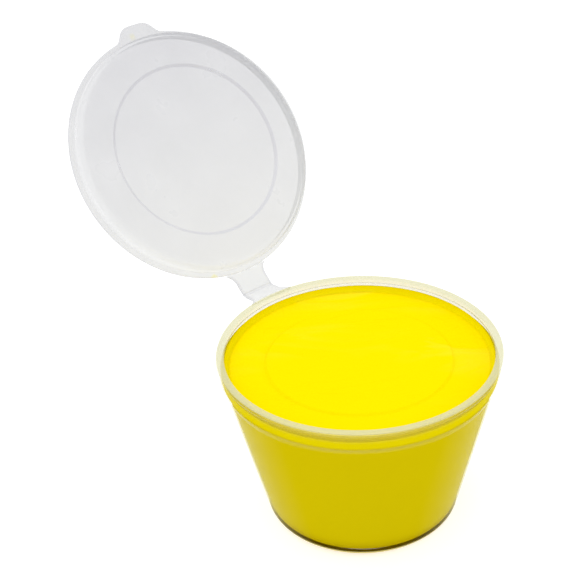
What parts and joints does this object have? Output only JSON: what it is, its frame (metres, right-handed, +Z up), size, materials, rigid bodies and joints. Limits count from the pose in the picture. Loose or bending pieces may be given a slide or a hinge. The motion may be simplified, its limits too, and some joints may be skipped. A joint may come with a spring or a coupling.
{
  "type": "paint cup with hinged lid",
  "caption": "Small tapered translucent plastic cup of thick yellow paint, with a round plug lid standing open on a strap-like living hinge.",
  "frame": {"origin": "centre of the cup's foot, on the plane that it stands on", "axes": "+Z up along the cup's axis; +Y from the cup's axis towards the hinge; X along the hinge's fold line"},
  "size_m": [0.062, 0.1106, 0.0932],
  "materials": {
    "cup_plastic": "translucent natural polypropylene, satin gloss",
    "lid_plastic": "milky natural polypropylene, satin gloss",
    "paint": "thick yellow ready-mixed paint, wet satin surface"
  },
  "bodies": {
    "cup": {"cup": "cup_plastic", "cup_hinge_strap": "cup_plastic", "hinge_web": "cup_plastic", "paint": "paint"},
    "lid": {"lid": "lid_plastic", "lid_hinge_strap": "lid_plastic", "lid_tab": "lid_plastic"}
  },
  "joints": [
    {"name": "lid_hinge", "type": "hinge", "parent": "cup", "child": "lid", "pos_m": [0, 0.0357, 0.0396], "axis": [1, 0, 0], "range_deg": [-52, 128]}
  ]
}
